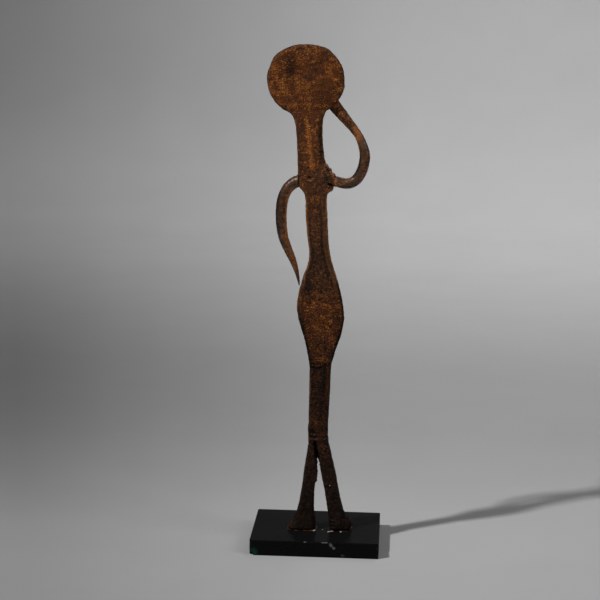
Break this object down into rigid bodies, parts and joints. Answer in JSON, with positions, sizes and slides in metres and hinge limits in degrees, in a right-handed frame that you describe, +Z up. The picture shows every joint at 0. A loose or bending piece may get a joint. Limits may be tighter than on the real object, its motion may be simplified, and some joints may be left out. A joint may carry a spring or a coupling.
{
  "type": "forged iron figure",
  "caption": "Slender forged iron human figure with a flat round head, one arm raised to the head and one hanging, glued to a small black stone plinth.",
  "frame": {"origin": "centre of the plinth's underside", "axes": "+Z up along the standing figure, +X along the plinth's long side to the viewer's right, and the figure faces -Y"},
  "size_m": [0.0612, 0.0532, 0.2394],
  "materials": {
    "rusted_iron": "forged iron with a dark brown rust patina and orange flecks, smoother and greyer on the arms",
    "black_stone": "polished black stone with small chips along its edges"
  },
  "bodies": {
    "root": {"iron_figure": "rusted_iron", "plinth": "black_stone"}
  },
  "joints": []
}
